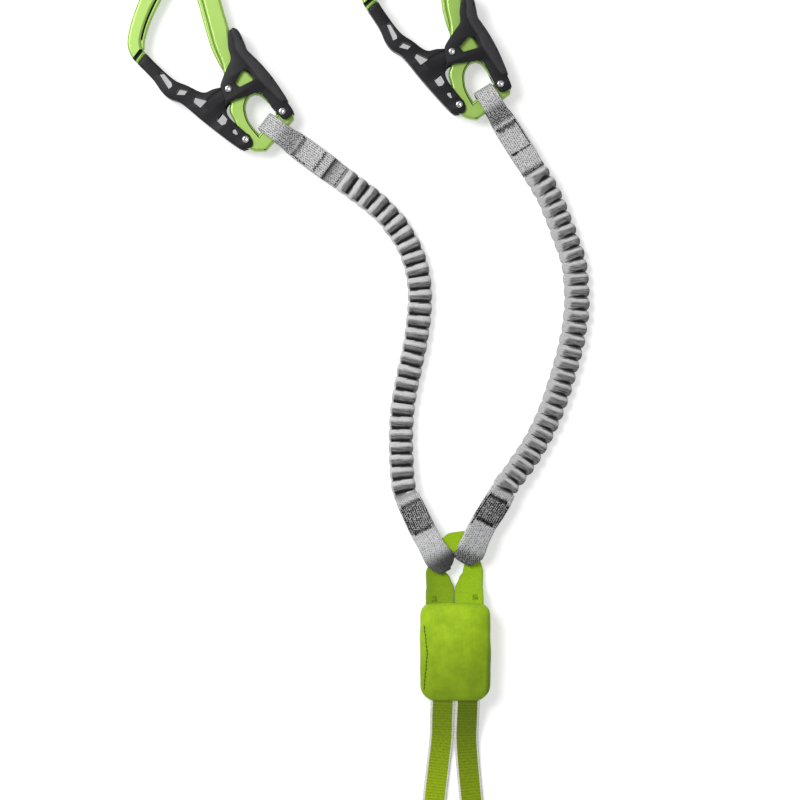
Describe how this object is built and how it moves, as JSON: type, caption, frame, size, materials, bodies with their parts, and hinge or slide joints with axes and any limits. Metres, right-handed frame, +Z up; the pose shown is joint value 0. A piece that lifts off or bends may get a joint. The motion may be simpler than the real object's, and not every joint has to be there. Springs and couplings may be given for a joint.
{
  "type": "via ferrata lanyard",
  "caption": "Y-shaped via ferrata lanyard: squeeze-to-open carabiners on gathered elastic arms, looped to a webbing sling, energy absorber pouch and tie-in loop",
  "frame": {"origin": "the middle of the absorber pouch's flat underside, which lies on the table", "axes": "+Y from the pouch towards the carabiners, +Z up from the table, +X to the right seen from above"},
  "size_m": [0.2768, 0.6109, 0.024],
  "materials": {
    "green_alloy": "satin anodised, light green",
    "black_moulding": "fine satin",
    "grip_rubber": "soft matt",
    "bright_steel": "polished heads",
    "spring_steel": "drawn wire",
    "grey_webbing": "woven, light grey",
    "gathered_webbing": "woven and gathered, mid grey",
    "elastic": "bare elastic",
    "lime_webbing": "woven, lime green",
    "lime_cloth": "close woven, lime green",
    "tear_tape": "woven, undyed"
  },
  "bodies": {
    "lanyard": {"left_top_eye": "grey_webbing", "left_bungee": "gathered_webbing", "left_elastic_core": "elastic", "left_lower_eye": "grey_webbing", "right_top_eye": "grey_webbing", "right_bungee": "gathered_webbing", "right_elastic_core": "elastic", "right_lower_eye": "grey_webbing", "absorber_pouch": "lime_cloth", "tear_tape": "tear_tape", "upper_sling": "lime_webbing", "tie_in_loop": "lime_webbing"},
    "left_carabiner": {"left_frame": "green_alloy", "left_gate_rivet": "bright_steel", "left_lever_rivet": "bright_steel", "left_gate_spring": "spring_steel", "left_lever_spring": "spring_steel"},
    "left_gate_body": {"left_gate": "black_moulding"},
    "left_lever_body": {"left_lever": "black_moulding", "left_lever_grip": "grip_rubber", "left_lock_stud_upper": "bright_steel", "left_lock_stud_under": "bright_steel"},
    "right_carabiner": {"right_frame": "green_alloy", "right_gate_rivet": "bright_steel", "right_lever_rivet": "bright_steel", "right_gate_spring": "spring_steel", "right_lever_spring": "spring_steel"},
    "right_gate_body": {"right_gate": "black_moulding"},
    "right_lever_body": {"right_lever": "black_moulding", "right_lever_grip": "grip_rubber", "right_lock_stud_upper": "bright_steel", "right_lock_stud_under": "bright_steel"}
  },
  "joints": [
    {"name": "left_carabiner_swing", "type": "hinge", "parent": "lanyard", "child": "left_carabiner", "pos_m": [-0.10813, 0.31371, 0.0088], "axis": [0.6293, 0.7771, 0], "range_deg": [0, 90]},
    {"name": "left_gate_opening", "type": "hinge", "parent": "left_carabiner", "child": "left_gate_body", "pos_m": [-0.1255, 0.3072, 0.0088], "axis": [0, 0, -1], "range_deg": [0, 22], "stiffness_Nm_per_rad": 0.2, "springref_deg": -5.73},
    {"name": "left_lever_squeeze", "type": "hinge", "parent": "left_carabiner", "child": "left_lever_body", "pos_m": [-0.1036, 0.32381, 0.0088], "axis": [0, 0, 1], "range_deg": [0, 4], "stiffness_Nm_per_rad": 0.5, "springref_deg": -2.86},
    {"name": "right_carabiner_swing", "type": "hinge", "parent": "lanyard", "child": "right_carabiner", "pos_m": [0.02058, 0.33119, 0.0088], "axis": [0.8211, 0.5707, 0], "range_deg": [0, 90]},
    {"name": "right_gate_opening", "type": "hinge", "parent": "right_carabiner", "child": "right_gate_body", "pos_m": [0.0023, 0.32808, 0.0088], "axis": [0, 0, -1], "range_deg": [0, 22], "stiffness_Nm_per_rad": 0.2, "springref_deg": -5.73},
    {"name": "right_lever_squeeze", "type": "hinge", "parent": "right_carabiner", "child": "right_lever_body", "pos_m": [0.02695, 0.34025, 0.0088], "axis": [0, 0, 1], "range_deg": [0, 4], "stiffness_Nm_per_rad": 0.5, "springref_deg": -2.86}
  ]
}
